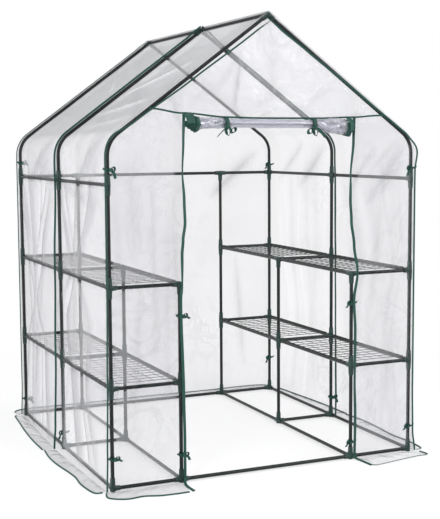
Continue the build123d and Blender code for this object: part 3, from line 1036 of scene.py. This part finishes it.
def roll_ties():
    """The two ribbon ties that hold the roll: a band round it, and a bow below."""
    mesh = bmesh.new()
    waist = roll_radius * 0.52
    reach = waist + 0.0014
    for side in sides.values():
        x = side * tie_x
        centre = roll_z + eased(roll_raised, x)

        def band(across, up):
            angle = 2 * pi * up
            return Vector((x + (across - 0.5) * 0.014, roll_y - reach * cos(angle), centre + reach * sin(angle)))

        add_sheet(mesh, 2, 40, band)
        y = roll_y - waist
        foot = centre - roll_radius * 0.45
        # The drop from the header to the knot, in front of the roll
        add_ribbon(mesh, [(x, y + 0.004, 1.507), (x + 0.002, y - 0.006, centre), (x, y - 0.004, foot)], 0.016,
                   [(1, 0, 0), (1, 0.1, 0), (1, 0, 0)], 16)
        # A full knot
        knot = [(x - 0.009, y - 0.002, foot + 0.003), (x, y - 0.012, foot), (x + 0.009, y - 0.002, foot - 0.003)]
        for lean in (0.4, -0.4):
            add_ribbon(mesh, knot, 0.015, [(lean, 0, 1), (0, 0, 1), (-lean, 0, 1)], 12)
        # A small round loop towards the middle
        inward = -side
        ring = [(x + inward * (0.013 + 0.011 * (1 - cos(a))), y - 0.008 - 0.006 * sin(a), foot - 0.013 + 0.011 * sin(a))
                for a in [2 * pi * step / 12 for step in range(13)]]
        add_ribbon(mesh, ring, 0.015, [(0.35, -1, 0.35)] * len(ring), 40)
        link = [(x, y - 0.008, foot), (x + inward * 0.013, y - 0.010, foot - 0.004)]
        add_ribbon(mesh, link, 0.010, [(0, 0, 1)] * 2, 6)
        # A flat loop straight down, and a tail that hangs outwards
        loop = [(x, y - 0.008, foot), (x + 0.008, y - 0.013, foot - 0.014), (x + 0.001, y - 0.010, foot - 0.033),
                (x - 0.008, y - 0.006, foot - 0.016), (x, y - 0.004, foot)]
        add_ribbon(mesh, loop, 0.012, [(1, 0.3, 0), (0.9, 0.5, 0.2), (0.3, 1, 0.2), (0.9, -0.5, 0.2), (1, 0, 0)], 30)
        tail = [(x, y - 0.006, foot), (x - inward * 0.020, y - 0.011, foot - 0.012),
                (x - inward * 0.046, y - 0.008, foot - 0.038)]
        add_ribbon(mesh, tail, 0.013, [(0.3, -0.2, 1), (0.5, -0.3, 1), (0.5, -0.4, 1)], 20)
    # The door's two edge ribbons, from the header down to the roll
    for line, width in (([(-0.372, front_y - 0.006, 1.524), (-0.372, roll_y - 0.030, 1.512),
                          (-0.366, roll_y - 0.036, 1.484)], 0.042),
                        ([(0.376, front_y - 0.006, 1.510), (0.376, roll_y - 0.034, 1.490),
                          (0.376, roll_y - 0.038, 1.455)], 0.022)):
        add_ribbon(mesh, line, width, [(1, 0, 0.1), (1, 0.1, 0), (1, 0.3, 0)], 20)
    finished_ribbon("door_tie_bows", mesh, ["door_ties"])


roll_ties()


# Small ties that hold the cover to its posts
def post_tie(mesh, x, y, z, lean, droop):
    """A tie round a post: a band, a knot beside it, a short dash to one side and a loop and tail to the other."""
    reach = tube_radius + 0.0016

    def band(across, up):
        angle = 2 * pi * up
        return Vector((x + reach * cos(angle), y + reach * sin(angle), z + (across - 0.5) * 0.012 + 0.003 * sin(angle)))

    add_sheet(mesh, 2, 24, band)
    front = y - tube_radius - 0.004
    knot = x + lean * 0.010
    for slope in (0.5, -0.5):
        add_ribbon(mesh, [(knot - 0.008, front + 0.002, z - 0.006 * slope), (knot, front - 0.008, z),
                          (knot + 0.008, front + 0.002, z + 0.006 * slope)],
                   0.015, [(slope, 0, 1), (0, 0, 1), (-slope, 0, 1)], 12)
    loop = [(knot + lean * 0.008 * (1 - cos(a)), front - 0.005 - 0.003 * sin(a), z + 0.002 + 0.011 * sin(a))
            for a in [2 * pi * step / 10 for step in range(11)]]
    add_ribbon(mesh, loop, 0.011, [(0.4, -1, 0.35)] * len(loop), 30)
    end = Vector((lean * (0.027 - 0.010 * droop), -0.004, -0.008 - 0.026 * droop))
    tail = [(knot, front - 0.002, z), (knot + 0.7 * end.x, front - 0.006, z + 0.4 * end.z),
            (knot + end.x, front - 0.004, z + end.z)]
    add_ribbon(mesh, tail, 0.011, [(0.4, -0.5, 1), (1, -0.5, 0.5), (1, -0.5, 0.2)], 14)
    dash = [(x, front, z), (x - lean * 0.012, front - 0.003, z + 0.002), (x - lean * 0.023, front, z + 0.006)]
    add_ribbon(mesh, dash, 0.009, [(0, -0.4, 1)] * 3, 12)


# Each tie's place, the side that its bow leans to, and how far its tail droops
post_ties = [
    (-post_x, -row_y, 1.302, 1, 1.0), (-post_x, -row_y, 0.136, 1, 0.1), (post_x, -row_y, 1.290, -1, 1.0),
    (post_x, -row_y, 0.120, -1, 0.3), (-post_x, row_y, 1.311, 1, 0.2), (-post_x, row_y, 0.090, 1, 0.6),
    (post_x, row_y, 1.285, -1, 0.6), (post_x, row_y, 0.190, -1, 0.8), (-post_x, 0.0, 0.080, -1, 0.8),
    (post_x, 0.0, 0.105, 1, 0.8), (-aisle_post_x, -row_y, 0.700, 1, 0.1), (-aisle_post_x, -row_y, 0.119, 1, 0.6),
    (aisle_post_x, -row_y, 0.703, -1, 0.4), (aisle_post_x, -row_y, 0.080, -1, 0.4),
]
mesh = bmesh.new()
for tie in post_ties:
    post_tie(mesh, *tie)
finished_ribbon("post_ties", mesh, thickness=tie_thickness)

# Skirts on the ground. Each side flap: the stretch of wall that it hangs from, and the line of its hem
side_flaps = [
    (row_y, 0.006, [(0.703, 0.756), (0.701, 0.769), (0.55, 0.782), (0.374, 0.797), (0.20, 0.806), (0.012, 0.807)]),
    (-0.002, -row_y, [(0.004, 0.800), (-0.12, 0.812), (-0.247, 0.810), (-0.443, 0.792), (-0.576, 0.799),
                      (-0.699, 0.785), (-0.712, 0.752)]),
]
front_hems = {
    "left": [(-0.739, -0.722), (-0.751, -0.790), (-0.689, -0.832), (-0.616, -0.826), (-0.553, -0.846),
             (-0.479, -0.852), (-0.428, -0.850)],
    "right": [(0.748, -0.742), (0.752, -0.800), (0.694, -0.804), (0.584, -0.824), (0.477, -0.845), (0.452, -0.846),
              (0.434, -0.832)],
}


def skirt(mesh, hems, inner, hem, columns, ripple, seed):
    """A flap of skirt from the foot of the cover to its hem, and the hem's ribbon."""
    draw = random.Random(seed)
    phases = [draw.uniform(0, 2 * pi) for _ in range(3)]

    def lift(along, out):
        waves = sin(along * 19 + phases[0]) + 0.6 * sin(along * 37 + 3 * out + phases[1])
        return ripple * sin(pi * min(out, 1.0)) * (0.9 + 0.5 * waves + 0.25 * sin(along * 71 + phases[2]))

    def place(along, out):
        inside, outside = inner(along), through(hem, along)
        point = inside + (outside.to_3d() - inside) * out
        return Vector((point.x, point.y, 0.0008 + max(lift(along, out), 0.0)))

    add_sheet(mesh, columns, 10, place)

    def hem_place(across, along):
        point = through(hem, along)
        ahead = through(hem, min(along + 0.01, 1.0)) - through(hem, max(along - 0.01, 0.0))
        off = Vector((-ahead.y, ahead.x)).normalized() * hem_ribbon
        return Vector((point.x + off.x * (across - 0.5), point.y + off.y * (across - 0.5), 0.0006 + 0.004 * across))

    add_sheet(hems, 1, columns, hem_place)


hems = bmesh.new()
side_mesh, front_mesh, back_mesh = bmesh.new(), bmesh.new(), bmesh.new()
for name, side in sides.items():
    for first, last, line in side_flaps:
        hem = [(side * x, y) for y, x in line]

        def inner(along, first=first, last=last, side=side, name=name):
            y = first + (last - first) * along
            return Vector((side * (cover_x + stand_off(name, y, 0.0)), y, 0))

        skirt(side_mesh, hems, inner, hem, 60, 0.004, 7 + side)
    hem = front_hems[name]

    def inner(along, name=name, side=side):
        corner, edge = side * (cover_x + 0.010), eased(door_edges[name], 0.0)
        return Vector((corner + (edge - corner) * along, front_y, 0))

    skirt(front_mesh, hems, inner, hem, 40, 0.003, 11 + side)
back_hem = [(-0.740, 0.724), (-0.745, 0.800), (-0.660, 0.842), (-0.35, 0.836), (0.0, 0.846), (0.35, 0.838),
            (0.660, 0.844), (0.745, 0.800), (0.740, 0.724)]


def back_inner(along):
    return Vector(((2 * along - 1) * cover_x, cover_y, 0))


skirt(back_mesh, hems, back_inner, back_hem, 110, 0.004, 19)
skirts = {
    "side_skirt_film": (side_mesh, "side_skirts", (0.14, 1.43)),
    "front_skirt_film": (front_mesh, "front_skirts", (0.64, 0.12)),
    "back_skirt_film": (back_mesh, "back_skirt", (1.44, 0.12)),
}
for piece_name, (mesh, node, flat) in skirts.items():
    flaps = finished(piece_name, mesh, skirt_film, [node], film_sharp_angle)
finished_ribbon("skirt_hems", hems, thickness=tie_thickness)


# Floor and light, which aren't part of the object
def floor():
    """A plain pale floor that fades to the white of the surround."""
    mesh = bmesh.new()
    bmesh.ops.create_circle(mesh, cap_ends=True, segments=96, radius=14.0)
    data = mesh_data("floor", mesh)
    ground = Finish("floor_paint")
    grain = ground.bump(ground.noise(30), 0.0005, 0.1)
    paint = ground.node("ShaderNodeBsdfDiffuse", {}, {"Color": (0.80, 0.80, 0.80, 1), "Normal": grain})
    shade = ground.node("ShaderNodeBsdfDiffuse", {}, {"Color": (0.42, 0.42, 0.42, 1), "Normal": grain})
    glow = ground.node("ShaderNodeEmission", {}, {"Color": (1, 1, 1, 1), "Strength": 0.60})
    white = ground.node("ShaderNodeEmission", {}, {"Color": (1, 1, 1, 1), "Strength": 1.0})
    near = ground.node("ShaderNodeAddShader", {}, {0: shade, 1: glow})
    away = ground.node("ShaderNodeVectorMath", {"operation": "LENGTH"}, {0: ground.place}, output=1)
    spread = ground.node("ShaderNodeMapRange", {"interpolation_type": "SMOOTHSTEP"},
                         {"Value": away, "From Min": 1.1, "From Max": 3.0})
    data.materials.append(ground.surface(ground.mix(ground.seen_plainly(), paint, ground.mix(spread, near, white))))
    placed("floor", data)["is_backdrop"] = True


def surround():
    """A white surround, a little dimmer where it only lights the object."""
    world = bpy.data.worlds.new("surround")
    bpy.context.scene.world = world
    sky = Nodes(world)
    through_film = sky.node("ShaderNodeLightPath", output="Is Transmission Ray")
    backdrop = through_film.math("MAXIMUM", sky.seen_plainly(), through_film)
    ambient = sky.node("ShaderNodeBackground", {}, {"Color": (0.97, 0.98, 1.0, 1), "Strength": 0.65})
    plain = sky.node("ShaderNodeBackground", {}, {"Color": (1, 1, 1, 1), "Strength": 1.0})
    sky.node("ShaderNodeOutputWorld", {}, {"Surface": sky.mix(backdrop, ambient, plain)})


# Each lamp's place, size and power
lamps = {
    "key": ((-3.2, -3.6, 4.6), (0.9, 0.9), 70.0),
    "fill": ((3.8, -3.2, 3.0), (2.6, 2.6), 96.0),
    "glint": ((2.1, -4.7, 2.3), (0.6, 0.4), 12.0),
    "top": ((0.4, 0.2, 5.0), (1.1, 1.1), 36.0),
    "strip": ((-4.2, -1.2, 1.4), (0.35, 2.6), 60.0),
}
floor()
surround()
lit_middle = Vector((0, 0, 0.9))
for name, (place, size, power) in lamps.items():
    lamp = bpy.data.lights.new(name, "AREA")
    lamp.shape = "RECTANGLE"
    lamp.size, lamp.size_y = size
    lamp.energy = power
    holder = placed(name, lamp)
    holder.location = place
    holder.rotation_euler = (Vector(place) - lit_middle).to_track_quat("Z", "Y").to_euler()
bpy.context.scene.view_settings.view_transform = "Standard"
bpy.context.scene.cycles.transparent_max_bounces = 32

low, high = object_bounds()
